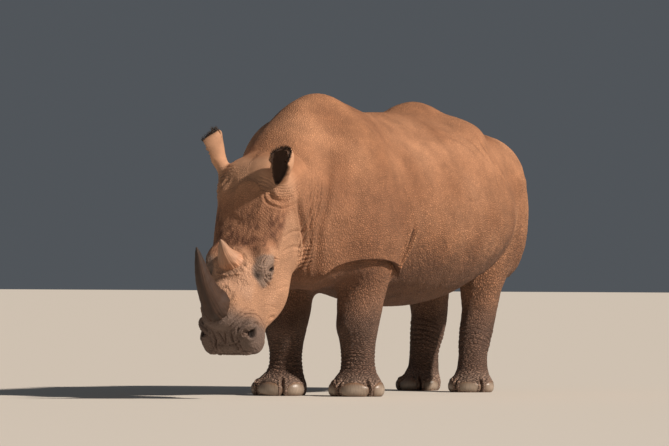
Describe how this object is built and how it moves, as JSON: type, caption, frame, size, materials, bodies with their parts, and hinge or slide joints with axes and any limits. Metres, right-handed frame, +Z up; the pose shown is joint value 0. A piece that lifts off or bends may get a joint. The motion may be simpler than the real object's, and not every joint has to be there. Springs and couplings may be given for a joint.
{
  "type": "white rhinoceros",
  "caption": "White rhinoceros standing four-square with its broad square-lipped head held low, a long front horn, a short rear horn and a high hump at the neck.",
  "frame": {"origin": "middle of the bounding box across and along the animal, on the ground under its soles", "axes": "+Z up, -Y towards the animal's head, +X towards the animal's left side"},
  "size_m": [1.207, 3.3813, 1.7479],
  "materials": {
    "skin": "thick dry hide, matt, wrinkled and dusted with red-brown earth",
    "horn": "keratin, fibrous and dull at the base, smoother and darker to the tip",
    "nail": "grey keratin, worn with a low sheen",
    "eye": "wet, dark brown"
  },
  "bodies": {
    "root": {"trunk": "skin", "neck": "skin", "head": "skin", "tail": "skin", "foreleg_left": "skin", "foreleg_left_toenail_middle": "nail", "foreleg_left_toenail_outer": "nail", "foreleg_left_toenail_inner": "nail", "foreleg_right": "skin", "foreleg_right_toenail_middle": "nail", "foreleg_right_toenail_outer": "nail", "foreleg_right_toenail_inner": "nail", "hindleg_left": "skin", "hindleg_left_toenail_middle": "nail", "hindleg_left_toenail_outer": "nail", "hindleg_left_toenail_inner": "nail", "hindleg_right": "skin", "hindleg_right_toenail_middle": "nail", "hindleg_right_toenail_outer": "nail", "hindleg_right_toenail_inner": "nail", "horn_front": "horn", "horn_rear": "horn", "ear_left": "skin", "ear_right": "skin", "eye_left": "eye", "eye_right": "eye"}
  },
  "joints": []
}
